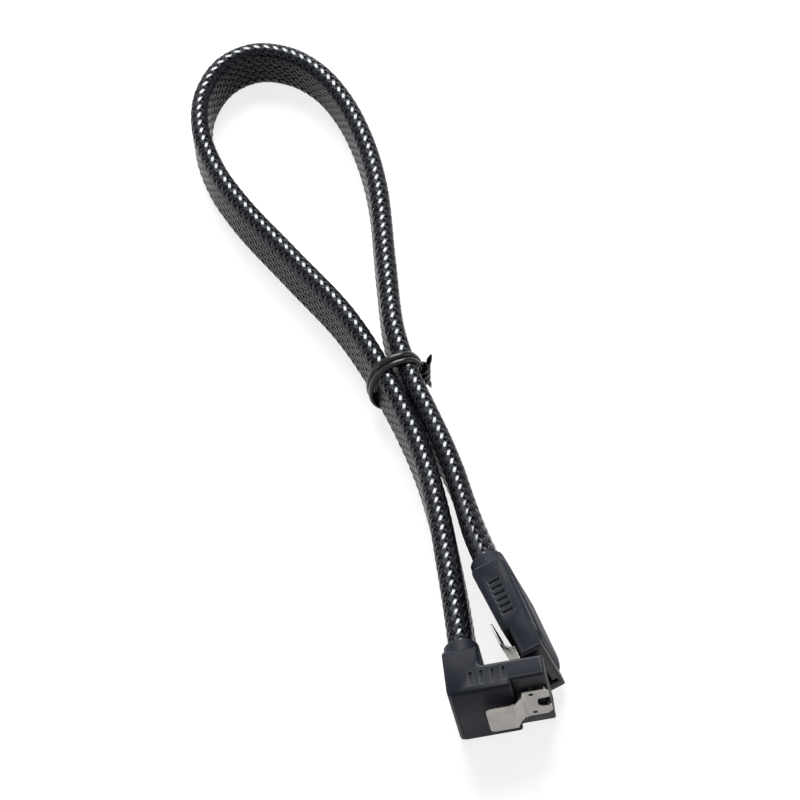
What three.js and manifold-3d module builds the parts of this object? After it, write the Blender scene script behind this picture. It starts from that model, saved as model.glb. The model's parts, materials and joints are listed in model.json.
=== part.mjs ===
// SATA data cable: a flat cable in a braided sleeve, folded into one loop and held by a twist tie,
// with a straight connector on one end and a 90 degree connector on the other.
// Millimetres, +Z up. The cable stands on its edge on the plane z = 0. The origin is the middle of the
// angled connector's foot, the narrow face it stands on, under the cable's axis. The angled connector
// is pushed in along +X, and its cable leaves along +Y.
import * as THREE from 'three';
import { mergeVertices } from 'three/addons/utils/BufferGeometryUtils.js';
import Module from 'manifold-3d';

const wasm = await Module();
wasm.setup();

// Clearances
const fitGap = 0.2;
const cableGap = 0.3;

// Connector sizes, in the plug's own frame: the plug goes in along +X, the latch is on the -Y side,
// Z runs across the contacts, and x = 0 is the end face of the boot
const connectorWidth = 14.8;
const bootChamfer = 0.4;
const bootFront = -2.3;
const bootBack = 2.6;
const plugWidth = 14;
const plugFront = -1.15;
const plugBack = 2.6;
const plugLength = 5.6;
const plugChamfer = 0.25;
const plugShoulder = 0.06;
const seamGap = 0.06;
const plugTailLength = 3;
const plugTailWidth = 12.4;
const plugTailFront = -0.9;
const plugTailBack = 1.7;
const mouthDepth = 5;
const slotWidth = 10.4;
const slotBottom = -0.5;
const slotTop = 1;
const keyWidth = 1.1;
const keyTop = 1.9;

// Contacts
const contactCount = 7;
const contactPitch = 1.27;
const contactWidth = 0.8;
const contactThickness = 0.25;
const contactFloor = -0.35;
const contactTip = 4.6;
const contactReach = 6;
const contactChannelTop = 0.25;
const contactRow = contactPitch * (contactCount - 1) + contactWidth;

// Straight boot
const straightBootLength = 13.4;
const straightShoulderHalf = 2.9;
const cornerRadius = 1;
const endRadius = 0.6;
const padStart = -12.8;
const padEnd = 4.2;
const padRise = 0.8;
const padRun = 2.2;
const padWidth = 12;
const padChamfer = 0.5;
const collarLength = 3;
const collarWall = 0.45;
const collarFlare = 1.06;
const collarSides = 20;
const sleeveSeat = 2.2;
const innerThickness = 3.2;
const innerRoom = 0.39;
const gripCount = 6;
const gripPitch = 1.25;
const gripStart = -9.6;
const gripWidth = 0.55;
const gripLength = 2;
const gripDepth = 0.4;

// Angled boot
const cableOffset = 7.55;
const angledShoulder = 6.2;
const angledLegHalf = 2.95;
const angledGripCount = 4;
const angledGripPitch = 1.8;
const angledGripStart = -6.6;
const angledGripMiddle = 0.3;
const angledGripLength = 2.4;

// Latches: a strip of spring steel on its side, with its root at the mouth and a tail over the boot
const steel = 0.3;
const latchLift = 0.5;
const tailLift = 2.4;
const tailEnd = -5;
const tailHalf = 3.5;
const tailRadius = 0.9;
const rampLow = 1.4;
const rampHigh = -0.4;
const waistHalf = 3;
const headHalf = 3.7;
const headStart = 1.1;
const prongStart = 3.4;
const prongEnd = 5.5;
const prongGapHalf = 1.3;
const holeX = 2.6;
const holeZ = 2.75;
const holeRadius = 0.42;
const footX = 4.95;
const footDepth = 0.3;
const footSlot = 0.45;
const steelCorner = 0.25;
const steelEdge = 0.15;
const waistRun = 0.35;
const prongCorner = 0.8;

// Where the straight connector lies: the end face of its boot, and its turn and lean
const straightPlace = new THREE.Vector3(10.6385, 6.8453, 7.9);
const straightYaw = THREE.MathUtils.degToRad(-75.6);
const straightLean = THREE.MathUtils.degToRad(9);
const straightTravel = new THREE.Vector3(Math.cos(straightYaw), Math.sin(straightYaw), 0);
const straightRun = straightBootLength + collarLength - sleeveSeat;
const sleeveStart = straightPlace.clone().addScaledVector(straightTravel, -straightRun);
const straightRim = sleeveStart.clone().addScaledVector(straightTravel, -sleeveSeat);

// Cable sections: each is [width, thickness] of an oval, or a diameter
const channelWidth = 2.97;
const channelThickness = 1.7;
const shieldWidth = 2.77;
const shieldThickness = 1.5;
const shieldWall = 0.1;
const insulationDiameter = 1.1;
const conductorDiameter = 0.34;
const drainDiameter = 0.28;
const wireGap = 0.08;
const drainWall = 0.11;
const drainBoreHalf = drainDiameter / 2 + wireGap;
const drainOffset = 1.5 * contactPitch + channelWidth / 2 + drainWall + drainBoreHalf;
const jacketWall = 0.26;
const jacketWidth = 2 * (drainOffset + drainBoreHalf + jacketWall);
const jacketThickness = 2.2;
const sleeveWall = 0.4;
const sleeveRoom = 0.2;
const sleeveWidth = jacketWidth + 2 * (sleeveWall + sleeveRoom);
const sleeveThickness = 3.7;
const innerWidth = Math.max(contactRow, jacketWidth) + 2 * innerRoom;

// The cable's route along its middle, chosen by hand from the straight connector to the angled one:
// x, y, z, lean of the upper edge towards the outside of the loop in degrees, and sleeve thickness
const route = [
  [...sleeveStart, -9, 4.3],
  [...straightRim, -9, 4.3],
  [5.2, 28.6, 7.6, -8, 4.1],
  [3.9, 36, 6.85, -3, 3.8],
  [2.7, 42.8, 6.6, 1, 3.7],
  [1.1, 49.4, 6.4, 5, 3.6],
  [-0.95, 56.8, 6.3, 8, 3.5],
  [-3, 64.4, 6.25, 10, 3.5],
  [-4.7, 74.9, 6, 10, 3.6],
  [-4.75, 90.4, 5.3, 10, 3.7],
  [-4.5, 108.4, 4.9, 9, 3.7],
  [-5.8, 119.9, 4.8, 8, 3.6],
  [-8.6, 130.4, 4.8, 6, 3.5],
  [-12.6, 138.4, 4.8, 4, 3.4],
  [-17.9, 143.8, 4.8, 2, 3.4],
  [-24.3, 146.2, 4.8, 0, 3.4],
  [-30.2, 144.3, 4.8, -2, 3.4],
  [-34.5, 138, 4.8, -4, 3.4],
  [-35.6, 129.8, 4.8, -6, 3.5],
  [-33.7, 119.8, 4.8, -8, 3.6],
  [-29.5, 109.8, 4.9, -9, 3.7],
  [-21.2, 94.9, 5.25, -10, 3.7],
  [-12.9, 79.8, 5.9, -10, 3.7],
  [-7.1, 64.4, 6.25, -10, 3.5],
  [-2.95, 48.9, 6.4, -8, 3.6],
  [-1.1, 36.4, 6.75, -4, 3.9],
  [-0.35, 24.4, 7, -1, 4.2],
  [0, 13.4, 7.35, 0, 4.3],
  [0, 7.4, 7.4, 0, 4.3],
  [0, 5.05, 7.4, 0, 4.3],
];
const sharpTurn = THREE.MathUtils.degToRad(15);

// Twist tie, in the frame of its loop: u across the two legs, v along them, w up
const tieCentre = { x: -5.45, y: 65.8, z: 6.25 };
const tieYaw = THREE.MathUtils.degToRad(11);
const tieLean = THREE.MathUtils.degToRad(10);
const tieHalfWidth = 5;
const tieCorner = 2.5;
const tieTurns = 2;
const tieStepsPerTurn = 14;
const tiePitch = 1.35;
const ribbonWidth = 1.15;
const ribbonThickness = 0.75;
const tieRoom = 0.345;
const tieHalfHeight = (sleeveWidth + ribbonThickness) / 2 + tieRoom;
const tieWireDiameter = 0.26;
const tieWireGap = 0.13;
const twistOffset = 1.2;
const twistRadius = 0.66;
const twistTurns = 1.5;
const twistSteps = 12;
const twistBottom = -2.6;
const twistTop = 2.8;
const tipSpread = 0.5;
const tipLength = 1.9;

// Finishes
function finish(color, roughness, metalness) {
  return new THREE.MeshStandardMaterial({ color, roughness, metalness });
}
const braidFinish = finish(0x26282c, 0.35, 0);
const jacketFinish = finish(0x141416, 0.5, 0);
const foilFinish = finish(0xc8c8ca, 0.4, 1);
const pairFinishes = [finish(0xd8d8d4, 0.5, 0), finish(0x2c4f9e, 0.5, 0)];
const copperFinish = finish(0xc07848, 0.3, 1);
const tinnedFinish = finish(0xb8b6b0, 0.35, 1);
const bootFinish = finish(0x1b1d22, 0.6, 0);
const plugFinish = finish(0x15161a, 0.5, 0);
const goldFinish = finish(0xd0a850, 0.3, 1);
const steelFinish = finish(0xa8a29a, 0.35, 1);
const tieFinish = finish(0x0c0c0e, 0.25, 0);

// Solids
function cleaned(geometry) {
  geometry.deleteAttribute('normal');
  geometry.deleteAttribute('uv');
  return mergeVertices(geometry, 1e-5);
}

function solid(geometry) {
  const merged = cleaned(geometry);
  const vertProperties = new Float32Array(merged.attributes.position.array);
  const triVerts = new Uint32Array(merged.index.array);
  return new wasm.Manifold(new wasm.Mesh({ numProp: 3, vertProperties, triVerts }));
}

function shell(body) {
  const { numProp, vertProperties, triVerts } = body.getMesh();
  const positions = new Float32Array((vertProperties.length / numProp) * 3);
  for (let i = 0; i < positions.length / 3; i += 1) {
    positions.set(vertProperties.subarray(i * numProp, i * numProp + 3), i * 3);
  }
  const geometry = new THREE.BufferGeometry();
  geometry.setAttribute('position', new THREE.BufferAttribute(positions, 3));
  geometry.setIndex([...triVerts]);
  return geometry;
}

function named(name, geometry, material) {
  geometry.computeVertexNormals();
  const mesh = new THREE.Mesh(geometry, material);
  mesh.name = name;
  return mesh;
}

function box(low, high) {
  const size = high.map((value, axis) => value - low[axis]);
  const centre = high.map((value, axis) => (value + low[axis]) / 2);
  return solid(new THREE.BoxGeometry(...size).translate(...centre));
}

// Outlines
// A closed outline through corners of x, y and rounding distance
function rounded(corners) {
  const shape = new THREE.Shape();
  corners.forEach(([x, y, radius = 0], index) => {
    const corner = new THREE.Vector2(x, y);
    const before = new THREE.Vector2(...corners.at(index - 1));
    const after = new THREE.Vector2(...corners[(index + 1) % corners.length]);
    const enter = corner.clone().add(before.sub(corner).setLength(radius));
    const leave = corner.clone().add(after.sub(corner).setLength(radius));
    if (index === 0) {
      shape.moveTo(enter.x, enter.y);
    } else {
      shape.lineTo(enter.x, enter.y);
    }
    if (radius > 0) {
      shape.quadraticCurveTo(x, y, leave.x, leave.y);
    }
  });
  return shape;
}

function polygon(points) {
  return new THREE.Shape(points.map(([x, y]) => new THREE.Vector2(x, y)));
}

// An oval with flat sides along its width and half circles at its ends
function oval(width, thickness, sides, centre = 0) {
  const radius = thickness / 2;
  const steps = sides / 2 - 1;
  const points = [];
  for (const end of [1, -1]) {
    for (let i = 0; i <= steps; i += 1) {
      const angle = (i / steps - 0.5) * Math.PI;
      const x = centre + end * (width / 2 - radius + radius * Math.cos(angle));
      points.push([x, end * radius * Math.sin(angle)]);
    }
  }
  return polygon(points);
}

function circle(diameter, sides, centre = 0) {
  const points = [];
  for (let i = 0; i < sides; i += 1) {
    const angle = ((i + 0.5) / sides) * Math.PI * 2;
    points.push([centre + (diameter / 2) * Math.cos(angle), (diameter / 2) * Math.sin(angle)]);
  }
  return polygon(points);
}

function withHoles(shape, holes) {
  shape.holes.push(...holes);
  return shape;
}

// A plan outline made a block of the given height, chamfered at its top and bottom
function block(shape, height, chamfer) {
  const geometry = new THREE.ExtrudeGeometry(shape, {
    depth: height - 2 * chamfer,
    curveSegments: 3,
    bevelEnabled: chamfer > 0,
    bevelThickness: chamfer,
    bevelSize: chamfer,
    bevelOffset: -chamfer,
    bevelSegments: 1,
  });
  return solid(geometry.translate(0, 0, chamfer - height / 2));
}

// Cable
// Stations along the route: each has its point, the directions of width, thickness and travel,
// and how much thicker the sleeve is there than its nominal section
function cableStations() {
  const points = route.map(([x, y, z]) => new THREE.Vector3(x, y, z));
  const curve = new THREE.CatmullRomCurve3(points, false, 'centripetal');
  const intervals = points.length - 1;
  const stations = [];
  for (let i = 0; i < intervals; i += 1) {
    const here = curve.getTangent(i / intervals);
    const parts = here.angleTo(curve.getTangent((i + 1) / intervals)) > sharpTurn ? 2 : 1;
    for (let part = 0; part < parts; part += 1) {
      stations.push(cableStation(curve, i, part / parts));
    }
  }
  stations.push(cableStation(curve, intervals - 1, 1));
  return stations;
}

function cableStation(curve, index, share) {
  const at = (index + share) / (route.length - 1);
  const [lean, thickness] = [3, 4].map((column) => {
    return THREE.MathUtils.lerp(route[index][column], route[index + 1][column], share);
  });
  const travel = curve.getTangent(at).normalize();
  const side = travel.clone().cross(new THREE.Vector3(0, 0, 1)).normalize();
  const up = side.clone().cross(travel);
  const angle = THREE.MathUtils.degToRad(lean);
  const width = up.multiplyScalar(Math.cos(angle)).addScaledVector(side, Math.sin(angle));
  return {
    point: curve.getPoint(at),
    width,
    depth: travel.clone().cross(width),
    travel,
    swell: thickness / sleeveThickness,
  };
}

// A section swept through stations, its ends carried straight on by the two reaches
function sweep(shape, stations, { startReach = 0, endReach = 0, swells = false } = {}) {
  const steps = stations.length - 1;
  const geometry = cleaned(new THREE.ExtrudeGeometry(shape, { depth: 1, steps, bevelEnabled: false }));
  const positions = geometry.attributes.position;
  for (let i = 0; i < positions.count; i += 1) {
    const index = Math.round(positions.getZ(i) * steps);
    const { point, width, depth, travel, swell } = stations[index];
    const place = point.clone();
    if (index === 0) {
      place.addScaledVector(travel, -startReach);
    }
    if (index === steps) {
      place.addScaledVector(travel, endReach);
    }
    place.addScaledVector(width, positions.getX(i));
    place.addScaledVector(depth, positions.getY(i) * (swells ? swell : 1));
    positions.setXYZ(i, place.x, place.y, place.z);
  }
  return geometry;
}

// The layers end one after another inside the boots, towards the contacts
const straightWireReach = straightRun - contactReach - cableGap;
const angledWireReach = 2.1;
const shieldStrip = { straight: 2.4, angled: 1.2 };
const insulationStrip = { straight: 1, angled: 0.6 };
const layers = {
  jacket: { startReach: 1.6, endReach: 0.5 },
  shield: {
    startReach: straightWireReach - shieldStrip.straight,
    endReach: angledWireReach - shieldStrip.angled,
  },
  insulation: {
    startReach: straightWireReach - insulationStrip.straight,
    endReach: angledWireReach - insulationStrip.angled,
  },
  conductor: { startReach: straightWireReach, endReach: angledWireReach },
};

function pinPlace(pin) {
  return (pin - (contactCount + 1) / 2) * contactPitch;
}

function cable() {
  const group = new THREE.Group();
  const stations = cableStations();
  const bore = oval(sleeveWidth - 2 * sleeveWall, sleeveThickness - 2 * sleeveWall, 10);
  const sleeve = withHoles(oval(sleeveWidth, sleeveThickness, 12), [bore]);
  group.add(named('braided_sleeve', sweep(sleeve, stations, { swells: true }), braidFinish));

  const wires = [
    { name: 'a_plus', pin: 2 },
    { name: 'a_minus', pin: 3 },
    { name: 'b_minus', pin: 5 },
    { name: 'b_plus', pin: 6 },
  ];
  const pairs = [
    { name: 'pair_a_shield', centre: (pinPlace(2) + pinPlace(3)) / 2 },
    { name: 'pair_b_shield', centre: (pinPlace(5) + pinPlace(6)) / 2 },
  ];
  const drains = [
    { name: 'drain_wire_a', centre: -drainOffset },
    { name: 'drain_wire_b', centre: drainOffset },
  ];
  const channels = pairs.map(({ centre }) => oval(channelWidth, channelThickness, 8, centre));
  const drainBores = drains.map(({ centre }) => circle(drainDiameter + 2 * wireGap, 4, centre));
  const jacket = withHoles(oval(jacketWidth, jacketThickness, 10), [...channels, ...drainBores]);
  group.add(named('cable_jacket', sweep(jacket, stations, layers.jacket), jacketFinish));

  for (const { name, centre } of pairs) {
    const inside = oval(shieldWidth - 2 * shieldWall, shieldThickness - 2 * shieldWall, 8, centre);
    const foil = withHoles(oval(shieldWidth, shieldThickness, 8, centre), [inside]);
    group.add(named(name, sweep(foil, stations, layers.shield), foilFinish));
  }
  wires.forEach(({ name, pin }, index) => {
    const centre = pinPlace(pin);
    const hole = circle(conductorDiameter + 2 * wireGap, 4, centre);
    const insulation = withHoles(circle(insulationDiameter, 6, centre), [hole]);
    const material = pairFinishes[index % 2];
    group.add(named(`wire_${name}`, sweep(insulation, stations, layers.insulation), material));
    const core = circle(conductorDiameter, 4, centre);
    group.add(named(`conductor_${name}`, sweep(core, stations, layers.conductor), copperFinish));
  });
  for (const { name, centre } of drains) {
    const drain = circle(drainDiameter, 4, centre);
    group.add(named(name, sweep(drain, stations, layers.conductor), tinnedFinish));
  }
  return group;
}

// Plug, contacts and latch, the same on both ends
function plugBody() {
  const corners = [
    [plugShoulder, plugFront],
    [plugLength, plugFront],
    [plugLength, plugBack],
    [plugShoulder, plugBack],
  ];
  const halfTail = plugTailWidth / 2;
  const halfSlot = slotWidth / 2;
  const past = 1;
  const tail = box(
    [-plugTailLength, plugTailFront, -halfTail],
    [plugShoulder + plugChamfer, plugTailBack, halfTail],
  );
  const mouthFloor = plugLength - mouthDepth;
  const slot = box([mouthFloor, slotBottom, -halfSlot], [plugLength + past, slotTop, halfSlot]);
  const key = box(
    [mouthFloor, slotBottom, -halfSlot],
    [plugLength + past, keyTop, keyWidth - halfSlot],
  );
  const halfRow = contactRow / 2 + fitGap;
  const channel = box(
    [-plugTailLength - past, slotBottom, -halfRow],
    [mouthFloor + past, contactChannelTop, halfRow],
  );
  const footSeat = box(
    [footX - steel, plugFront - past, -headHalf - cableGap],
    [footX + steel, plugFront + footSlot, headHalf + cableGap],
  );
  return block(rounded(corners), plugWidth, plugChamfer)
    .add(tail)
    .subtract(slot)
    .subtract(key)
    .subtract(channel)
    .subtract(footSeat);
}

function latch() {
  const tailTop = plugFront - tailLift;
  const headTop = plugFront - latchLift;
  const halfSteel = steel / 2;
  const side = polygon([
    [tailEnd, tailTop - steel],
    [rampHigh, tailTop - steel],
    [rampLow, headTop - steel],
    [prongEnd, headTop - steel],
    [prongEnd, headTop],
    [footX + halfSteel, headTop],
    [footX + halfSteel, plugFront + footDepth],
    [footX - halfSteel, plugFront + footDepth],
    [footX - halfSteel, headTop],
    [rampLow - halfSteel, headTop],
    [rampHigh - halfSteel, tailTop],
    [tailEnd, tailTop],
  ]);
  const plan = rounded([
    [tailEnd, -tailHalf, tailRadius],
    [rampHigh, -tailHalf, steelCorner],
    [rampHigh + waistRun, -waistHalf, steelCorner],
    [headStart, -waistHalf, steelEdge],
    [headStart, -headHalf, steelEdge],
    [prongEnd - prongCorner, -headHalf, steelCorner],
    [prongEnd, prongCorner - headHalf, steelEdge],
    [prongEnd, -prongGapHalf, steelEdge],
    [prongStart, -prongGapHalf, prongCorner],
    [prongStart, prongGapHalf, prongCorner],
    [prongEnd, prongGapHalf, steelEdge],
    [prongEnd, headHalf - prongCorner, steelEdge],
    [prongEnd - prongCorner, headHalf, steelCorner],
    [headStart, headHalf, steelEdge],
    [headStart, waistHalf, steelEdge],
    [rampHigh + waistRun, waistHalf, steelCorner],
    [rampHigh, tailHalf, steelCorner],
    [tailEnd, tailHalf, tailRadius],
  ]);
  for (const z of [-holeZ, holeZ]) {
    const hole = circle(2 * holeRadius, 8);
    plan.holes.push(new THREE.Path(hole.getPoints().map(({ x, y }) => new THREE.Vector2(x + holeX, y + z))));
  }
  const strip = block(side, connectorWidth, 0);
  const reach = 2 * connectorWidth;
  const cutter = block(plan, reach, 0).rotate([90, 0, 0]);
  return strip.intersect(cutter);
}

function contactStrip(points) {
  return block(polygon(points), contactWidth, 0);
}

function plugPieces(end, contactPoints) {
  const group = new THREE.Group();
  group.add(named(`${end}_plug_body`, shell(plugBody()), plugFinish));
  group.add(named(`${end}_latch`, shell(latch()), steelFinish));
  for (let pin = 1; pin <= contactCount; pin += 1) {
    const contact = named(`${end}_contact_${pin}`, shell(contactStrip(contactPoints)), goldFinish);
    contact.position.z = pinPlace(pin);
    group.add(contact);
  }
  return group;
}

// The hole in a boot's end face for the plug's tail
function plugSocket() {
  const past = 1;
  return box(
    [-plugTailLength - fitGap, plugTailFront - fitGap, -plugTailWidth / 2 - fitGap],
    [past, plugTailBack + fitGap, plugTailWidth / 2 + fitGap],
  );
}

// The boot carried on over the plug's two narrow faces as thin lids, and the room it leaves the plug
function lids() {
  const corners = [
    [-plugTailLength, plugFront],
    [plugLength, plugFront],
    [plugLength, bootBack],
    [-plugTailLength, bootBack],
  ];
  return block(rounded(corners), connectorWidth, bootChamfer);
}

function plugRoom() {
  const past = 10;
  const half = plugWidth / 2 + seamGap;
  return box([0, -past, -half], [plugLength + past, plugBack + seamGap, half]);
}

// A neck around the cable, its seat for the sleeve and its bore for the wires, along +X from x = 0,
// where the neck meets the boot; the cable comes from the +X side
function collar(thickness) {
  const wall = cableGap + collarWall;
  const section = oval(sleeveWidth + 2 * wall, thickness + 2 * wall, collarSides);
  const overlap = 1;
  return alongCable(section, -overlap, collarLength, collarFlare);
}

function collarSeat(thickness) {
  const section = oval(sleeveWidth + 2 * cableGap, thickness + 2 * cableGap, collarSides);
  return alongCable(section, collarLength - sleeveSeat - cableGap, collarLength + 1);
}

function alongCable(section, from, to, flare = 1) {
  const geometry = new THREE.ExtrudeGeometry(section, { depth: to - from, bevelEnabled: false });
  const positions = geometry.attributes.position;
  for (let i = 0; i < positions.count; i += 1) {
    if (positions.getZ(i) === 0) {
      positions.setXY(i, positions.getX(i) * flare, positions.getY(i) * flare);
    }
  }
  geometry.translate(0, 0, from);
  geometry.rotateZ(Math.PI / 2);
  geometry.rotateY(Math.PI / 2);
  geometry.rotateX(Math.PI / 2);
  return solid(geometry);
}

// Short grooves across a boot's two narrow faces, for the fingers
function gripGrooves(places, length) {
  const face = connectorWidth / 2;
  const past = 1;
  const grooves = places.flatMap(([x, y]) => {
    const low = [x, y - length / 2];
    const high = [x + gripWidth, y + length / 2];
    return [
      box([...low, face - gripDepth], [...high, face + past]),
      box([...low, -face - past], [...high, gripDepth - face]),
    ];
  });
  return grooves.reduce((all, groove) => all.add(groove));
}

function straightBoot() {
  const shoulder = -straightBootLength;
  const plan = rounded([
    [shoulder, -straightShoulderHalf, cornerRadius],
    [0, bootFront, endRadius],
    [0, bootBack, endRadius],
    [shoulder, straightShoulderHalf, cornerRadius],
  ]);
  const padTop = bootBack + padRise;
  const pad = rounded([
    [padEnd, 0, cornerRadius],
    [padEnd, bootBack, cornerRadius],
    [padEnd - padRun, padTop, cornerRadius],
    [padStart + padRun, padTop, cornerRadius],
    [padStart, bootBack, cornerRadius],
    [padStart, 0, cornerRadius],
  ]);
  const thickness = route[0][4];
  const turned = (body) => body.rotate([0, 0, 180]).translate([shoulder, 0, 0]);
  const body = block(plan, connectorWidth, bootChamfer)
    .add(block(pad, padWidth, padChamfer))
    .add(lids())
    .subtract(plugRoom())
    .add(turned(collar(thickness)))
    .subtract(turned(collarSeat(thickness)))
    .subtract(plugSocket())
    .subtract(
      box(
        [shoulder - collarLength + sleeveSeat, -innerThickness / 2, -innerWidth / 2],
        [-plugTailLength, innerThickness / 2, innerWidth / 2],
      ),
    );
  const places = Array.from({ length: gripCount }, (_, i) => [gripStart + i * gripPitch, 0]);
  return body.subtract(gripGrooves(places, gripLength));
}

function angledBoot() {
  const legLow = -cableOffset - angledLegHalf;
  const legHigh = angledLegHalf - cableOffset;
  const plan = rounded([
    [legLow, bootFront, cornerRadius],
    [0, bootFront, endRadius],
    [0, bootBack, endRadius],
    [legHigh, bootBack, endRadius],
    [legHigh, angledShoulder, endRadius],
    [legLow, angledShoulder, endRadius],
  ]);
  const thickness = route.at(-1)[4];
  const turned = (body) => body.rotate([0, 0, 90]).translate([-cableOffset, angledShoulder, 0]);
  const halfInner = innerThickness / 2;
  const body = block(plan, connectorWidth, bootChamfer)
    .add(lids())
    .subtract(plugRoom())
    .add(turned(collar(thickness)))
    .subtract(turned(collarSeat(thickness)))
    .subtract(plugSocket())
    .subtract(
      box(
        [-cableOffset - halfInner, -halfInner, -innerWidth / 2],
        [halfInner - cableOffset, angledShoulder + collarLength - sleeveSeat, innerWidth / 2],
      ),
    )
    .subtract(
      box(
        [-cableOffset, -halfInner, -innerWidth / 2],
        [-plugTailLength, contactChannelTop + fitGap, innerWidth / 2],
      ),
    );
  const places = Array.from({ length: angledGripCount }, (_, i) => {
    return [angledGripStart + i * angledGripPitch, angledGripMiddle];
  });
  return body.subtract(gripGrooves(places, angledGripLength));
}

function straightConnector() {
  const top = contactFloor + contactThickness;
  const contactPoints = [
    [-contactReach, contactFloor],
    [contactTip, contactFloor],
    [contactTip, top],
    [-contactReach, top],
  ];
  const group = plugPieces('straight', contactPoints);
  group.add(named('straight_boot', shell(straightBoot()), bootFinish));
  group.position.copy(straightPlace);
  group.rotation.set(straightLean, 0, straightYaw, 'ZYX');
  return group;
}

function angledConnector() {
  const top = contactFloor + contactThickness;
  const bend = -cableOffset + contactThickness / 2;
  const back = bend - contactThickness;
  const tailTip = angledShoulder + collarLength - sleeveSeat - angledWireReach - cableGap;
  const contactPoints = [
    [back, contactFloor],
    [contactTip, contactFloor],
    [contactTip, top],
    [bend, top],
    [bend, tailTip],
    [back, tailTip],
  ];
  const group = plugPieces('angled', contactPoints);
  group.add(named('angled_boot', shell(angledBoot()), bootFinish));
  group.position.set(cableOffset, -(bootFront + angledShoulder) / 2, connectorWidth / 2);
  return group;
}

// Twist tie
// A point on the loop round both legs, a rounded rectangle, with the direction out of it
function tieLoop(turn) {
  const angle = turn * Math.PI * 2;
  const out = new THREE.Vector3(Math.cos(angle), 0, Math.sin(angle));
  const flatU = tieHalfWidth - tieCorner;
  const flatW = tieHalfHeight - tieCorner;
  const squareness = 1.6;
  const square = (value) => THREE.MathUtils.clamp(value * squareness, -1, 1);
  const point = new THREE.Vector3(
    flatU * square(out.x) + tieCorner * out.x,
    0,
    flatW * square(out.z) + tieCorner * out.z,
  );
  return { point, out };
}

// A point on one of the two strands that twist round each other beside the legs
function tieStrand(phase, height) {
  const share = (height - twistBottom) / (twistTop - twistBottom);
  const angle = phase + share * twistTurns * Math.PI * 2;
  const out = new THREE.Vector3(Math.cos(angle), Math.sin(angle), 0);
  const point = new THREE.Vector3(tieHalfWidth + twistOffset, 0, height);
  point.addScaledVector(out, twistRadius);
  return { point, out: out.negate() };
}

function tieStations() {
  const marks = [];
  const halfPitch = (tieTurns * tiePitch) / 2;
  const heightStep = (twistTop - twistBottom) / twistSteps;
  const lower = (i) => tieStrand(Math.PI, twistBottom + i * heightStep);
  const upper = (i) => tieStrand(0, twistBottom + i * heightStep);
  const tip = ({ point, out }, rise) => {
    return { point: point.clone().add(new THREE.Vector3(tipSpread, 0, rise)), out };
  };
  marks.push(tip(lower(twistSteps), tipLength));
  for (let i = twistSteps; i >= 0; i -= 1) {
    marks.push(lower(i));
  }
  const steps = tieTurns * tieStepsPerTurn;
  const firstStep = 2;
  for (let i = firstStep; i <= steps - 1; i += 1) {
    const { point, out } = tieLoop(-i / tieStepsPerTurn);
    point.y = halfPitch * ((2 * i) / steps - 1);
    marks.push({ point, out });
  }
  for (let i = twistSteps; i >= 0; i -= 1) {
    marks.push(upper(i));
  }
  marks.push(tip(upper(0), -tipLength));
  const curve = new THREE.CatmullRomCurve3(marks.map(({ point }) => point), false, 'centripetal');
  const across = new THREE.Vector3(Math.cos(tieYaw), Math.sin(tieYaw), 0);
  const along = new THREE.Vector3(-across.y, across.x, 0);
  const up = new THREE.Vector3(0, 0, 1).addScaledVector(across, Math.tan(tieLean));
  const turn = new THREE.Matrix4().makeBasis(across, along, up);
  turn.setPosition(tieCentre.x, tieCentre.y, tieCentre.z);
  return marks.map(({ out }, index) => {
    const at = index / (marks.length - 1);
    const travel = curve.getTangent(at).transformDirection(turn);
    const outward = out.clone().transformDirection(turn);
    const width = outward.cross(travel).normalize();
    return {
      point: curve.getPoint(at).applyMatrix4(turn),
      width,
      depth: travel.clone().cross(width),
      travel,
      swell: 1,
    };
  });
}

function twistTie() {
  const group = new THREE.Group();
  const stations = tieStations();
  const bore = circle(tieWireDiameter + 2 * tieWireGap, 4);
  const ribbon = withHoles(oval(ribbonWidth, ribbonThickness, 6), [bore]);
  group.add(named('twist_tie', sweep(ribbon, stations), tieFinish));
  group.add(named('tie_wire', sweep(circle(tieWireDiameter, 4), stations), tinnedFinish));
  return group;
}

const cableAssembly = new THREE.Group();
cableAssembly.add(cable(), straightConnector(), angledConnector(), twistTie());

export default cableAssembly;
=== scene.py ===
import json
import math

import bmesh
import bpy
import numpy as np
from mathutils import Matrix, Vector


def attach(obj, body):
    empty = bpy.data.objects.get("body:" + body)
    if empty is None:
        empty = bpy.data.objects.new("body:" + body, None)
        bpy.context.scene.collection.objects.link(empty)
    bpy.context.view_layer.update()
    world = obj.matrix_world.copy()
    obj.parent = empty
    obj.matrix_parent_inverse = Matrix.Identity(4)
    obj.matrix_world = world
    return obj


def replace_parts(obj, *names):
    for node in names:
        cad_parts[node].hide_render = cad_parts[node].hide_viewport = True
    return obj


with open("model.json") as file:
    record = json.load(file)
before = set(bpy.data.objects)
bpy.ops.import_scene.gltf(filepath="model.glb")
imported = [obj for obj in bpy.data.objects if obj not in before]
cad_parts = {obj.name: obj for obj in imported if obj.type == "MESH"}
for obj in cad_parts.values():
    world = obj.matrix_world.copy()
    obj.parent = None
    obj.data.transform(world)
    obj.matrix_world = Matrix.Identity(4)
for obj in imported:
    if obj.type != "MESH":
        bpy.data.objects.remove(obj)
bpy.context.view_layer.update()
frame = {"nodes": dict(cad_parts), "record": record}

MM = 0.001
scene = bpy.context.scene
nodes = frame["nodes"]

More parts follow.
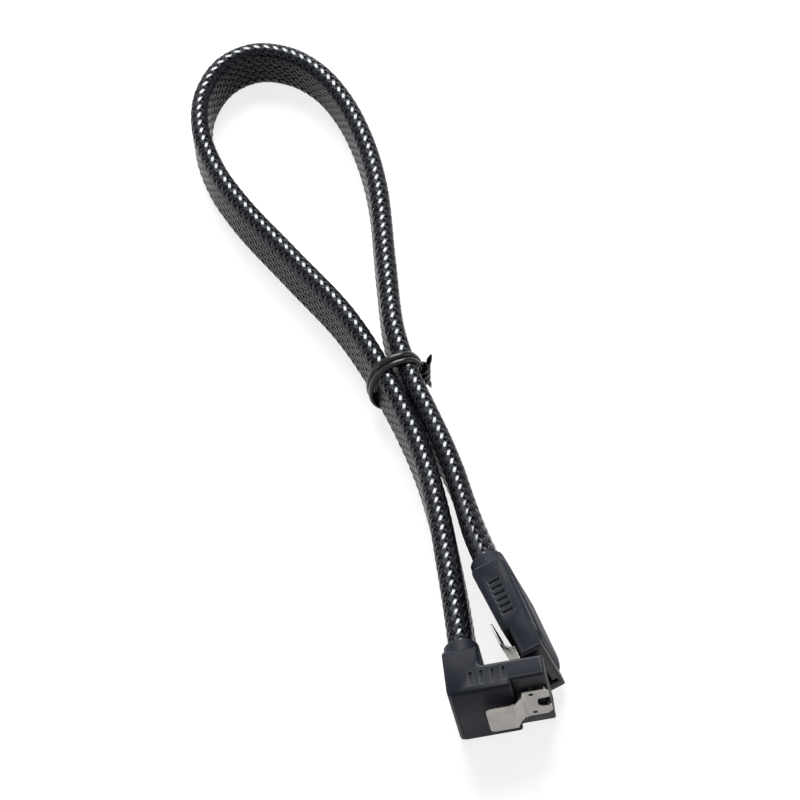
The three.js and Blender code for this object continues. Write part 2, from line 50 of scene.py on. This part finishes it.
# The cable's route, as in the part: x, y, z in millimetres, lean in degrees, sleeve thickness
ROUTE = [
    (7.107, 20.599, 7.9, -9, 4.3),
    (6.56, 22.73, 7.9, -9, 4.3),
    (5.2, 28.6, 7.6, -8, 4.1),
    (3.9, 36, 6.85, -3, 3.8),
    (2.7, 42.8, 6.6, 1, 3.7),
    (1.1, 49.4, 6.4, 5, 3.6),
    (-0.95, 56.8, 6.3, 8, 3.5),
    (-3, 64.4, 6.25, 10, 3.5),
    (-4.7, 74.9, 6, 10, 3.6),
    (-4.75, 90.4, 5.3, 10, 3.7),
    (-4.5, 108.4, 4.9, 9, 3.7),
    (-5.8, 119.9, 4.8, 8, 3.6),
    (-8.6, 130.4, 4.8, 6, 3.5),
    (-12.6, 138.4, 4.8, 4, 3.4),
    (-17.9, 143.8, 4.8, 2, 3.4),
    (-24.3, 146.2, 4.8, 0, 3.4),
    (-30.2, 144.3, 4.8, -2, 3.4),
    (-34.5, 138, 4.8, -4, 3.4),
    (-35.6, 129.8, 4.8, -6, 3.5),
    (-33.7, 119.8, 4.8, -8, 3.6),
    (-29.5, 109.8, 4.9, -9, 3.7),
    (-21.2, 94.9, 5.25, -10, 3.7),
    (-12.9, 79.8, 5.9, -10, 3.7),
    (-7.1, 64.4, 6.25, -10, 3.5),
    (-2.95, 48.9, 6.4, -8, 3.6),
    (-1.1, 36.4, 6.75, -4, 3.9),
    (-0.35, 24.4, 7, -1, 4.2),
    (0, 13.4, 7.35, 0, 4.3),
    (0, 7.4, 7.4, 0, 4.3),
    (0, 5.05, 7.4, 0, 4.3),
]
ROUTE_STEPS = 60
SLEEVE_WIDTH = 9.6

# Braid: yarns of each family, how far a yarn runs for one turn round the sleeve, and one yarn's section
# as distances across it and heights
YARNS = 24
YARNS_PER_PIECE = 12
YARN_STEPS = 900
YARN_ACROSS = (-0.41, -0.35, -0.2, 0.0, 0.2, 0.35, 0.41, -0.41)
YARN_HEIGHT = (-0.1, 0.025, 0.045, 0.05, 0.045, 0.025, -0.1, -0.1)
TURN_LENGTH = 46.0
GIRTH = 22.4
SLEEVE_INSET = 0.27
WEAVE_DEPTH = 0.19
WEAVE_SHARPNESS = 1.4

# How straight a yarn lies where it passes over two others, and how far along, in crossings
STRAIGHTNESS = 0.9
STRAIGHT_REACH = 1.35
STRAIGHT_FADE = 0.5
LOOK_AHEAD = 0.05

# Small irregularities: shares of the space between two yarns, and lengths in millimetres
YARN_SEED = 7
LEFT_HAND_SEED = 100
SHIFT = 0.04
WANDER = 0.05
WANDER_LENGTHS = (7, 16)
WANDER_PHASES = (0, 6.3)

# Shine of the right-hand yarns: full at the crest, then fading to what they have elsewhere
CREST_SHINE = 1.8
CREST_FADE = 0.7
PROUD_SHINE = 0.16

# Twist tie, in the frame of its loop: u across the two legs, v along them, w up
TIE_CENTRE = (-5.45, 65.8, 6.25)
TIE_YAW = math.radians(11)
TIE_LEAN = math.radians(10)
TIE_HALF_WIDTH = 4.75
TIE_HALF_HEIGHT = 5.3
TIE_CORNER = 4.1
TIE_SQUARENESS = 1.2
TIE_TURNS = 2
TIE_STEPS = 14
TIE_FIRST_STEP = 2
TIE_PITCH = 1.35
TIE_CURVE_STEPS = 6
TIE_SIDES = 16
TWIST_OFFSET = 0.65
TWIST_RADIUS = 0.66
TWIST_TURNS = 1.5
TWIST_STEPS = 12
TWIST_BOTTOM = -3.1
TWIST_TOP = 1.7
TIP_SPREAD = 0.5
TIP_LENGTH = 1.9
TIP_WIDTH = 0.45

# The tie's pieces: name, slot, half width, half depth and the node each replaces
TIE_LAYERS = (
    ("tie_ribbon", "tie", 0.62, 0.42, "twist_tie"),
    ("tie_core", "tinned", 0.13, 0.13, "tie_wire"),
)

# Rounding of the CAD pieces, in millimetres, and the angles between faces that count as flat, as an
# edge to round and as a crease in the shading
BOOT_EDGE = 0.16
PLUG_EDGE = 0.07
LATCH_EDGE = 0.05
CONTACT_EDGE = 0.04
CLEAR_OF_EDGE = 2.2
FLAT_ANGLE = math.radians(2)
EDGE_ANGLE = math.radians(28)
CREASE_ANGLE = math.radians(40)
CAD_MERGE = 1e-6
TUBE_MERGE = 1e-7
PINS = range(1, 8)

# Camera: from the target towards the camera, its roll, and the point it looks at in millimetres
CAMERA_TOWARD = (0.0708, -0.5912, 0.8035)
CAMERA_ROLL = math.radians(-15.98)
CAMERA_TARGET = (-2.95, 64.4, 5.0)
CAMERA_DISTANCE = 0.6
CAMERA_LENS = 155.0
CAMERA_SHIFT = (-0.0145, -0.0139)
CAMERA_NEAR = 0.01

# Lamps: name, place, aim, width and height in metres, and power in watts
SOFTBOXES = (
    ("softbox_back", (0.035, 0.53, 0.525), (-0.01, 0.06, 0.005), (0.4, 0.4), 8.0),
    ("softbox_side", (0.55, -0.1, 0.3), (0, 0.06, 0), (0.3, 0.3), 0.6),
    ("softbox_left", (-0.6, 0.0, 0.35), (0, 0.06, 0), (0.3, 0.3), 0.5),
)

# Floor and surroundings: the light on the object, and the white that the camera and mirrors see
WHITE = (1, 1, 1, 1)
FLOOR_SIZE = 3
FLOOR_COLOUR = (0.25, 0.25, 0.25, 1)
FLOOR_ROUGHNESS = 0.8
FLOOR_SEEN = 0.8
WORLD_LIGHT = 0.16
WORLD_SEEN = 1.0

# Materials: the span that noise seldom leaves, heights of the fine relief in metres, and gloss by place
NOISE_LOW = 0.3
NOISE_HIGH = 0.7
RELIEF = 0.00002
GLOSSY_RELIEF = 0.000004
RELIEF_STRENGTH = 0.6
YARN_GLOSS = (0.12, 0.56)

# The first, second and result sockets of a mix node of each kind, whose names repeat
MIX_SOCKETS = {"RGBA": (6, 7, 2), "FLOAT": (2, 3, 0)}


# Camera and light

def aim_camera():
    toward = Vector(CAMERA_TOWARD).normalized()
    level = (-toward).cross(Vector((0, 0, 1))).normalized()
    upright = level.cross(-toward)
    across = math.cos(CAMERA_ROLL) * level + math.sin(CAMERA_ROLL) * upright
    upward = math.cos(CAMERA_ROLL) * upright - math.sin(CAMERA_ROLL) * level
    turn = Matrix((across, upward, toward)).transposed().to_4x4()
    place = Vector(CAMERA_TARGET) * MM + CAMERA_DISTANCE * toward
    data = bpy.data.cameras.new("camera")
    data.lens = CAMERA_LENS
    data.shift_x, data.shift_y = CAMERA_SHIFT
    data.clip_start = CAMERA_NEAR
    camera = bpy.data.objects.new("camera", data)
    camera.matrix_world = Matrix.Translation(place) @ turn
    scene.collection.objects.link(camera)
    scene.camera = camera


def add_softbox(name, place, aim, size, power):
    data = bpy.data.lights.new(name, "AREA")
    data.shape = "RECTANGLE"
    data.size, data.size_y = size
    data.energy = power
    lamp = bpy.data.objects.new(name, data)
    lamp.location = place
    lamp.rotation_euler = (Vector(aim) - Vector(place)).to_track_quat("-Z", "Y").to_euler()
    scene.collection.objects.link(lamp)


# Shader groups

def new_group(name, inputs, outputs):
    """A shader group. A socket whose value is a tuple carries a colour, any other carries a number."""
    group = bpy.data.node_groups.new(name, "ShaderNodeTree")
    for direction, sockets in (("INPUT", inputs), ("OUTPUT", outputs)):
        for label, value in sockets.items():
            kind = "NodeSocketColor" if isinstance(value, tuple) else "NodeSocketFloat"
            socket = group.interface.new_socket(label, in_out=direction, socket_type=kind)
            socket.default_value = value
    return group


def place_node(tree, kind, **values):
    node = tree.nodes.new(kind)
    for key, value in values.items():
        if key in node.inputs:
            node.inputs[key].default_value = value
        else:
            setattr(node, key, value)
    return node


def make_moulding_group():
    """Fine moulded grain over slow cloudiness, for everything made of plastic."""
    group = new_group("moulded_grain", {"Grain size": 2500.0}, {"Height": 0.5, "Tone": 0.5})
    start = place_node(group, "NodeGroupInput")
    end = place_node(group, "NodeGroupOutput")
    where = place_node(group, "ShaderNodeTexCoord")
    fine = place_node(group, "ShaderNodeTexNoise", Detail=3.0)
    slow = place_node(group, "ShaderNodeTexNoise", Scale=180.0, Detail=2.0)
    group.links.new(where.outputs["Object"], fine.inputs["Vector"])
    group.links.new(where.outputs["Object"], slow.inputs["Vector"])
    group.links.new(start.outputs["Grain size"], fine.inputs["Scale"])
    group.links.new(fine.outputs["Fac"], end.inputs["Height"])
    group.links.new(slow.outputs["Fac"], end.inputs["Tone"])
    return group


def make_brushing_group():
    """Fine scratches drawn out along one direction, for everything made of metal."""
    group = new_group("brushed_lines", {"Line length": 300.0}, {"Height": 0.5, "Tone": 0.5})
    start = place_node(group, "NodeGroupInput")
    end = place_node(group, "NodeGroupOutput")
    where = place_node(group, "ShaderNodeTexCoord")
    stretch = place_node(group, "ShaderNodeMapping", Scale=(1.0, 12.0, 12.0))
    lines = place_node(group, "ShaderNodeTexNoise", Detail=4.0)
    slow = place_node(group, "ShaderNodeTexNoise", Scale=400.0, Detail=2.0)
    group.links.new(where.outputs["Object"], stretch.inputs["Vector"])
    group.links.new(stretch.outputs["Vector"], lines.inputs["Vector"])
    group.links.new(where.outputs["Object"], slow.inputs["Vector"])
    group.links.new(start.outputs["Line length"], lines.inputs["Scale"])
    group.links.new(lines.outputs["Fac"], end.inputs["Height"])
    group.links.new(slow.outputs["Fac"], end.inputs["Tone"])
    return group


def make_edge_highlight_group():
    """Where the mesh marks a rounded edge, the surface takes a lighter edge colour, which is a painted
    highlight, and the edge's roughness.
    """
    inputs = {"Colour": WHITE, "Edge colour": WHITE, "Roughness": 0.5, "Edge roughness": 0.4}
    group = new_group("painted_edge_highlights", inputs, {"Colour": WHITE, "Roughness": 0.5})
    start = place_node(group, "NodeGroupInput")
    end = place_node(group, "NodeGroupOutput")
    mark = place_node(group, "ShaderNodeAttribute", attribute_name="rounded_edge")
    for label, kind in (("Colour", "RGBA"), ("Roughness", "FLOAT")):
        first, second, result = MIX_SOCKETS[kind]
        mix = place_node(group, "ShaderNodeMix", data_type=kind)
        group.links.new(mark.outputs["Fac"], mix.inputs["Factor"])
        group.links.new(start.outputs[label], mix.inputs[first])
        group.links.new(start.outputs[f"Edge {label.lower()}"], mix.inputs[second])
        group.links.new(mix.outputs[result], end.inputs[label])
    return group


# Materials

def new_material(name, roughness, metallic=0.0):
    material = bpy.data.materials.new(name)
    material.use_nodes = True
    set_shader(material, {"Roughness": roughness, "Metallic": metallic})
    return material, material.node_tree, material.node_tree.nodes["Principled BSDF"]


def set_shader(material, values):
    shader = material.node_tree.nodes["Principled BSDF"]
    for label, value in values.items():
        shader.inputs[label].default_value = value


def remap(tree, source, low, high):
    """The span that the source's noise covers, spread over low to high."""
    node = place_node(tree, "ShaderNodeMapRange")
    node.inputs["From Min"].default_value = NOISE_LOW
    node.inputs["From Max"].default_value = NOISE_HIGH
    node.inputs["To Min"].default_value = low
    node.inputs["To Max"].default_value = high
    tree.links.new(source, node.inputs["Value"])
    return node.outputs["Result"]


def shade_between(tree, factor, dark, light, target):
    first, second, result = MIX_SOCKETS["RGBA"]
    mix = place_node(tree, "ShaderNodeMix", data_type="RGBA")
    mix.inputs[first].default_value = (*dark, 1)
    mix.inputs[second].default_value = (*light, 1)
    tree.links.new(factor, mix.inputs["Factor"])
    tree.links.new(mix.outputs[result], target)


def raise_surface(tree, height, distance, shader):
    bump = place_node(tree, "ShaderNodeBump", Strength=RELIEF_STRENGTH, Distance=distance)
    tree.links.new(height, bump.inputs["Height"])
    tree.links.new(bump.outputs["Normal"], shader.inputs["Normal"])


def paint_edge_highlights(material, group, colour, roughness):
    """Painted highlights on the rounded edges of one material: a lighter colour in place of the light they
    catch, and a smoother surface.
    """
    tree = material.node_tree
    shader = tree.nodes["Principled BSDF"]
    edge_highlight = place_node(tree, "ShaderNodeGroup", node_tree=group)
    edge_highlight.inputs["Edge colour"].default_value = (*colour, 1)
    edge_highlight.inputs["Edge roughness"].default_value = roughness
    for label, socket in (("Colour", "Base Color"), ("Roughness", "Roughness")):
        tree.links.new(shader.inputs[socket].links[0].from_socket, edge_highlight.inputs[label])
        tree.links.new(edge_highlight.outputs[label], shader.inputs[socket])


def polish_yarns(material, dull, glossy):
    """The yarns shine as much as the mesh's own polish values say."""
    tree = material.node_tree
    mark = place_node(tree, "ShaderNodeAttribute", attribute_name="polish")
    gloss = place_node(tree, "ShaderNodeMapRange")
    gloss.inputs["To Min"].default_value = dull
    gloss.inputs["To Max"].default_value = glossy
    tree.links.new(mark.outputs["Fac"], gloss.inputs["Value"])
    tree.links.new(gloss.outputs["Result"], tree.nodes["Principled BSDF"].inputs["Specular IOR Level"])


def grained_material(name, group, size, dark, light, rough, metallic=0.0, relief=RELIEF):
    """A surface whose tone, gloss and relief all come from one of the shader groups."""
    material, tree, shader = new_material(name, sum(rough) / 2, metallic)
    grain = place_node(tree, "ShaderNodeGroup", node_tree=group)
    grain.inputs[0].default_value = size
    shade_between(tree, remap(tree, grain.outputs["Tone"], 0, 1), dark, light, shader.inputs["Base Color"])
    tree.links.new(remap(tree, grain.outputs["Tone"], *rough), shader.inputs["Roughness"])
    raise_surface(tree, grain.outputs["Height"], relief, shader)
    return material


def make_materials():
    """One material for each slot: name, grain and its size, dark and light colour, roughness from and to."""
    moulded = make_moulding_group()
    brushed = make_brushing_group()
    edge_highlight = make_edge_highlight_group()
    made = {
        "sleeve": grained_material("braid_monofilament", moulded, 900.0, (0.004, 0.0045, 0.0065),
                                   (0.0095, 0.0105, 0.015), (0.16, 0.26), relief=GLOSSY_RELIEF),
        "jacket": grained_material("jacket_vinyl", moulded, 1500.0, (0.006, 0.006, 0.007),
                                   (0.012, 0.012, 0.013), (0.5, 0.65)),
        "boot": grained_material("boot_moulding", moulded, 2600.0, (0.006, 0.0075, 0.0135),
                                 (0.0105, 0.0125, 0.021), (0.5, 0.62)),
        "plug": grained_material("plug_moulding", moulded, 3200.0, (0.004, 0.0045, 0.007),
                                 (0.007, 0.008, 0.012), (0.4, 0.5)),
        "tie": grained_material("tie_plastic", moulded, 700.0, (0.002, 0.002, 0.003),
                                (0.005, 0.005, 0.007), (0.14, 0.24), relief=GLOSSY_RELIEF),
        "latch": grained_material("latch_steel", brushed, 900.0, (0.3, 0.285, 0.27),
                                  (0.4, 0.38, 0.36), (0.26, 0.4), 1.0),
        "contact": grained_material("contact_gold", brushed, 1200.0, (0.72, 0.52, 0.22),
                                    (0.9, 0.7, 0.34), (0.18, 0.32), 1.0),
        "foil": grained_material("shield_foil", brushed, 600.0, (0.6, 0.6, 0.61),
                                 (0.8, 0.8, 0.81), (0.25, 0.5), 1.0),
        "copper": grained_material("wire_copper", brushed, 700.0, (0.6, 0.32, 0.18),
                                   (0.8, 0.46, 0.3), (0.2, 0.35), 1.0),
        "tinned": grained_material("wire_tinned", brushed, 700.0, (0.55, 0.54, 0.52),
                                   (0.72, 0.71, 0.68), (0.25, 0.4), 1.0),
        "insulation_white": grained_material("insulation_white", moulded, 1500.0, (0.66, 0.66, 0.64),
                                             (0.78, 0.78, 0.76), (0.4, 0.55)),
        "insulation_blue": grained_material("insulation_blue", moulded, 1500.0, (0.03, 0.09, 0.32),
                                            (0.05, 0.13, 0.42), (0.4, 0.55)),
    }
    set_shader(made["sleeve"], {"IOR": 1.6, "Specular Tint": (0.9, 0.94, 1.0, 1)})
    polish_yarns(made["sleeve"], *YARN_GLOSS)
    set_shader(made["boot"], {"Specular IOR Level": 0.14})
    set_shader(made["plug"], {"Specular IOR Level": 0.25})
    set_shader(made["tie"], {"Specular IOR Level": 0.28})
    # Lighter colour on the rounded edges of the boots and plugs: painted highlights
    paint_edge_highlights(made["boot"], edge_highlight, (0.045, 0.048, 0.058), 0.42)
    paint_edge_highlights(made["plug"], edge_highlight, (0.06, 0.063, 0.074), 0.38)
    return made


def dress_cad_nodes():
    for part in frame["record"]["subparts"]:
        for slot in nodes[part["node"]].material_slots:
            slot.material = by_slot[part["material_slot"]]


# Pieces

def add_piece(name, bm, body, slot, crease=None):
    mesh = bpy.data.meshes.new(name)
    bm.to_mesh(mesh)
    bm.free()
    mesh.shade_smooth()
    if crease is not None:
        mesh.set_sharp_from_angle(angle=crease)
    mesh.materials.append(by_slot[slot])
    piece = bpy.data.objects.new(name, mesh)
    scene.collection.objects.link(piece)
    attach(piece, body)
    return piece


def tubes(strands, polish=0.0):
    """Closed tubes from an array of strands, rings, points round a ring and coordinates in millimetres."""
    count, rings, around, _ = strands.shape
    shine = np.repeat(np.broadcast_to(polish, (count, rings)).ravel(), around)
    bm = bmesh.new()
    mark = bm.verts.layers.float.new("polish")
    for _ in range(count):
        bmesh.ops.create_grid(bm, x_segments=around - 1, y_segments=rings - 1, size=1)
    for vertex, place, value in zip(bm.verts, strands.reshape(-1, 3) * MM, shine):
        vertex.co = place
        vertex[mark] = value
    bmesh.ops.remove_doubles(bm, verts=bm.verts, dist=TUBE_MERGE)
    bmesh.ops.holes_fill(bm, edges=[edge for edge in bm.edges if edge.is_boundary], sides=0)
    bmesh.ops.recalc_face_normals(bm, faces=bm.faces)
    return bm


def softened_copy(node, body, slot, rounding):
    """A copy of a CAD node, merged, with its sharp edges rounded over."""
    bm = bmesh.new()
    bm.from_mesh(nodes[node].data)
    bmesh.ops.remove_doubles(bm, verts=bm.verts, dist=CAD_MERGE)
    bmesh.ops.dissolve_limit(bm, angle_limit=FLAT_ANGLE, verts=bm.verts, edges=bm.edges)
    marks = bm.faces.layers.float.new("rounded_edge")
    # An edge that meets a very short one stays sharp, so that no two rounded edges run into each other
    shortest = CLEAR_OF_EDGE * rounding * MM
    sharp = [
        edge for edge in bm.edges
        if len(edge.link_faces) == 2 and edge.calc_face_angle() > EDGE_ANGLE
        and min(near.calc_length() for vertex in edge.verts for near in vertex.link_edges) > shortest
    ]
    made = bmesh.ops.bevel(bm, geom=sharp, offset=rounding * MM, segments=2, profile=0.5, affect="EDGES",
                           material=-1, clamp_overlap=False)
    # The bevelled faces are marked, and the boot and plug materials paint a highlight colour on the marked
    # faces
    for face in made["faces"]:
        face[marks] = 1.0
    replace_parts(add_piece(f"{node}_finish", bm, body, slot, CREASE_ANGLE), node)


# Curves, in millimetres

def through(points, steps):
    """Places on the centripetal curve through the points, with as many steps in each interval."""
    points = np.asarray(points, float)
    padded = np.vstack([2 * points[0] - points[1], points, 2 * points[-1] - points[-2]])
    gaps = np.sum(np.diff(padded, axis=0) ** 2, axis=1) ** 0.25
    share = np.linspace(0, 1, steps + 1)[:, None]
    places = []
    for i in range(len(points) - 1):
        x0, x1, x2, x3 = padded[i:i + 4]
        d0, d1, d2 = gaps[i:i + 3]
        leave = ((x1 - x0) / d0 - (x2 - x0) / (d0 + d1) + (x2 - x1) / d1) * d1
        enter = ((x2 - x1) / d1 - (x3 - x1) / (d1 + d2) + (x3 - x2) / d2) * d1
        stretch = (x1 + leave * share + (3 * (x2 - x1) - 2 * leave - enter) * share ** 2
                   + (2 * (x1 - x2) + leave + enter) * share ** 3)
        places.append(stretch if i == len(points) - 2 else stretch[:-1])
    return np.vstack(places)


def unit(vectors):
    return vectors / np.linalg.norm(vectors, axis=-1, keepdims=True)


def along_route():
    """The cable's line with its width and depth directions and thickness, as tables against distance."""
    route = np.array(ROUTE, float)
    line = through(route[:, :3], ROUTE_STEPS)
    at = np.concatenate([[0], np.cumsum(np.linalg.norm(np.diff(line, axis=0), axis=1))])
    marks = np.arange(len(line)) / ROUTE_STEPS
    lean = np.radians(np.interp(marks, np.arange(len(route)), route[:, 3]))[:, None]
    thickness = np.interp(marks, np.arange(len(route)), route[:, 4])
    travel = unit(np.gradient(line, at, axis=0))
    side = unit(np.cross(travel, (0, 0, 1)))
    width = np.cross(side, travel) * np.cos(lean) + side * np.sin(lean)
    return {"at": at, "line": line, "width": width, "depth": np.cross(travel, width), "thick": thickness}


def read(table, distance):
    return np.stack([np.interp(distance, cable["at"], cable[table][:, k]) for k in range(3)], axis=-1)


def sleeve_surface(distance, turn):
    """Places and outward directions on the sleeve's middle surface; turn 0 is the upper edge's crest."""
    radius = np.interp(distance, cable["at"], cable["thick"]) / 2 - SLEEVE_INSET
    flat = SLEEVE_WIDTH / 2 - radius - SLEEVE_INSET
    quarter = radius * math.pi / 2
    girth = 4 * (flat + quarter)
    span = np.mod(turn, 1.0) * girth
    mirrored = span > girth / 2
    span = np.where(mirrored, girth - span, span)
    on_top = span < quarter
    on_flat = (span >= quarter) & (span < quarter + 2 * flat)
    below = (span - 2 * flat) / radius
    angle = np.where(on_top, span / radius, np.where(on_flat, math.pi / 2, below))
    centre = np.where(on_top, flat, np.where(on_flat, flat - (span - quarter), -flat))
    sign = np.where(mirrored, -1.0, 1.0)
    out_w, out_d = np.cos(angle), np.sin(angle) * sign
    along_w = centre + radius * out_w
    along_d = radius * out_d
    width, depth = read("width", distance), read("depth", distance)
    place = read("line", distance) + width * along_w[..., None] + depth * along_d[..., None]
    return place, width * out_w[..., None] + depth * out_d[..., None]


# The braid: yarns of both families pass over two and under two

def yarn_line(family, distance, turn, past_middle):
    """A yarn's places and outward directions, almost straight where it passes over two others."""
    crossing = TURN_LENGTH / (2 * YARNS)
    bent, bent_out = sleeve_surface(distance, turn)
    back = family * past_middle * crossing
    middle = distance - back
    middle_turn = turn - past_middle / (2 * YARNS)
    start, flat_out = sleeve_surface(middle, middle_turn)
    stop, _ = sleeve_surface(middle + LOOK_AHEAD, middle_turn + family * LOOK_AHEAD / TURN_LENGTH)
    straight = start + (stop - start) / LOOK_AHEAD * back[:, None]
    share = np.clip((STRAIGHT_REACH - np.abs(past_middle)) / STRAIGHT_FADE, 0, 1)[:, None]
    share = STRAIGHTNESS * share * share * (3 - 2 * share)
    return bent + (straight - bent) * share, unit(bent_out + (flat_out - bent_out) * share)


def yarn_polish(family, turn):
    """The right-hand yarns lie proud and shine, most of all where they pass over the upper edge."""
    from_crest = np.abs(np.mod(turn + 0.5, 1.0) - 0.5) * GIRTH
    return np.clip(CREST_SHINE - from_crest / CREST_FADE, PROUD_SHINE, 1) * (family > 0)


def weave_yarns(family, first, count):
    chance = np.random.default_rng(YARN_SEED + first + (LEFT_HAND_SEED if family < 0 else 0))
    across = np.array(YARN_ACROSS)
    height = np.array(YARN_HEIGHT)
    distance = np.linspace(0, cable["at"][-1], YARN_STEPS + 1)
    offset, middle = (0, 0) if family > 0 else (0.5, 2)
    strands, polish = [], []
    for yarn in range(first, first + count):
        turn = (yarn + offset) / YARNS + family * distance / TURN_LENGTH
        column = 2 * YARNS * turn
        past_middle = np.mod(column - middle + 2, 4) - 2
        wave = np.tanh(WEAVE_SHARPNESS * np.cos(column * math.pi / 2)) / math.tanh(WEAVE_SHARPNESS)
        bend = distance / chance.uniform(*WANDER_LENGTHS) + chance.uniform(*WANDER_PHASES)
        turn = turn + chance.uniform(-SHIFT, SHIFT) / YARNS + WANDER / YARNS * np.sin(bend)
        place, out = yarn_line(family, distance, turn, past_middle)
        travel = unit(np.gradient(place, axis=0))
        side = unit(np.cross(out, travel))
        rise = ((family * WEAVE_DEPTH * wave)[:, None] + height[None, :])[..., None]
        strands.append(place[:, None, :] + side[:, None, :] * across[None, :, None] + out[:, None, :] * rise)
        polish.append(yarn_polish(family, turn))
    return np.array(strands), np.array(polish)


def make_sleeve():
    made = []
    for label, family in (("right", 1), ("left", -1)):
        for first in range(0, YARNS, YARNS_PER_PIECE):
            name = f"braid_{label}_hand_{first // YARNS_PER_PIECE + 1}"
            woven = tubes(*weave_yarns(family, first, YARNS_PER_PIECE))
            made.append(add_piece(name, woven, "cable", "sleeve"))
    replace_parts(made[0], "braided_sleeve")
    return made


# The twist tie

def tie_loop(turn):
    angle = turn * math.tau
    out = np.array([math.cos(angle), 0, math.sin(angle)])
    flat = np.array([TIE_HALF_WIDTH - TIE_CORNER, 0, TIE_HALF_HEIGHT - TIE_CORNER])
    return flat * np.clip(out * TIE_SQUARENESS, -1, 1) + TIE_CORNER * out, out


def tie_strand(phase):
    """One end's marks in the twist, from its top to its bottom."""
    marks = []
    for i in range(TWIST_STEPS, -1, -1):
        share = i / TWIST_STEPS
        angle = phase + share * TWIST_TURNS * math.tau
        out = np.array([math.cos(angle), math.sin(angle), 0])
        height = TWIST_BOTTOM + share * (TWIST_TOP - TWIST_BOTTOM)
        axis = np.array([TIE_HALF_WIDTH + TWIST_OFFSET, 0, height])
        marks.append((axis + TWIST_RADIUS * out, -out))
    return marks


def tie_marks():
    """The ribbon's marks, each a place and an outward direction: tip, twist, loops, twist and tip."""
    lower = tie_strand(math.pi)
    upper = tie_strand(0)
    steps = TIE_TURNS * TIE_STEPS
    loops = []
    for i in range(TIE_FIRST_STEP, steps):
        place, out = tie_loop(-i / TIE_STEPS)
        place = place + np.array([0, TIE_TURNS * TIE_PITCH / 2 * (2 * i / steps - 1), 0])
        loops.append((place, out))
    first = (lower[0][0] + (TIP_SPREAD, 0, TIP_LENGTH), lower[0][1])
    last = (upper[-1][0] + (TIP_SPREAD, 0, -TIP_LENGTH), upper[-1][1])
    return [first, *lower, *loops, *upper, last]


def make_tie():
    marks = tie_marks()
    line = through([place for place, _ in marks], TIE_CURVE_STEPS)
    across = np.array([math.cos(TIE_YAW), math.sin(TIE_YAW), 0])
    upward = np.array([0, 0, 1]) + across * math.tan(TIE_LEAN)
    turn = np.array([across, (-across[1], across[0], 0), upward])
    line = line @ turn + np.array(TIE_CENTRE)
    count = np.arange(len(line))
    share = count / TIE_CURVE_STEPS
    outs = np.array([out for _, out in marks])
    out = np.stack([np.interp(share, np.arange(len(marks)), outs[:, k]) for k in range(3)], axis=-1)
    travel = unit(np.gradient(line, axis=0))
    width = unit(np.cross(unit(out @ turn), travel))
    depth = np.cross(travel, width)
    around = np.linspace(0, math.tau, TIE_SIDES + 1)
    circle = np.stack([np.cos(around), np.sin(around)], axis=-1)
    circle[-1] = circle[0]
    taper = np.clip(TIP_WIDTH + np.minimum(count, count[::-1]) / TIE_CURVE_STEPS, 0, 1)
    for name, slot, half_width, half_depth, node in TIE_LAYERS:
        section = circle * (half_width, half_depth) * taper[:, None, None]
        rings = (line[:, None, :] + width[:, None, :] * section[..., :1]
                 + depth[:, None, :] * section[..., 1:])
        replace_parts(add_piece(name, tubes(rings[None]), "cable", slot), node)


def soften_connectors():
    for end in ("straight", "angled"):
        softened_copy(f"{end}_boot", "cable", "boot", BOOT_EDGE)
        softened_copy(f"{end}_plug_body", "cable", "plug", PLUG_EDGE)
        softened_copy(f"{end}_latch", f"{end}_latch", "latch", LATCH_EDGE)
        for pin in PINS:
            softened_copy(f"{end}_contact_{pin}", "cable", "contact", CONTACT_EDGE)


# Floor and surroundings

def seen_directly(tree):
    """1 for what the camera, mirrors and glass see, and 0 for what lights the object."""
    paths = place_node(tree, "ShaderNodeLightPath")
    seen = paths.outputs["Is Camera Ray"]
    for label in ("Is Glossy Ray", "Is Transmission Ray"):
        either = place_node(tree, "ShaderNodeMath", operation="MAXIMUM")
        tree.links.new(seen, either.inputs[0])
        tree.links.new(paths.outputs[label], either.inputs[1])
        seen = either.outputs[0]
    return seen


def make_floor():
    bm = bmesh.new()
    bmesh.ops.create_grid(bm, x_segments=1, y_segments=1, size=FLOOR_SIZE)
    mesh = bpy.data.meshes.new("floor")
    bm.to_mesh(mesh)
    bm.free()
    floor = bpy.data.objects.new("floor", mesh)
    scene.collection.objects.link(floor)
    material, tree, shader = new_material("floor_white", FLOOR_ROUGHNESS)
    set_shader(material, {"Base Color": FLOOR_COLOUR, "Emission Color": WHITE})
    amount = place_node(tree, "ShaderNodeMath", operation="MULTIPLY")
    amount.inputs[1].default_value = FLOOR_SEEN
    tree.links.new(seen_directly(tree), amount.inputs[0])
    tree.links.new(amount.outputs[0], shader.inputs["Emission Strength"])
    mesh.materials.append(material)


def make_world():
    world = bpy.data.worlds.new("studio")
    scene.world = world
    world.use_nodes = True
    tree = world.node_tree
    background = tree.nodes["Background"]
    background.inputs["Color"].default_value = WHITE
    level = place_node(tree, "ShaderNodeMapRange")
    level.inputs["To Min"].default_value = WORLD_LIGHT
    level.inputs["To Max"].default_value = WORLD_SEEN
    tree.links.new(seen_directly(tree), level.inputs["Value"])
    tree.links.new(level.outputs["Result"], background.inputs["Strength"])


# The scene

aim_camera()
for softbox in SOFTBOXES:
    add_softbox(*softbox)
by_slot = make_materials()
cable = along_route()
dress_cad_nodes()
sleeve = make_sleeve()
make_tie()
soften_connectors()

far_pieces = ["straight_boot_finish", "straight_plug_body_finish", "straight_latch_finish"]
far_pieces += [f"straight_contact_{pin}_finish" for pin in PINS]

make_floor()
make_world()
scene.view_settings.view_transform = "Standard"
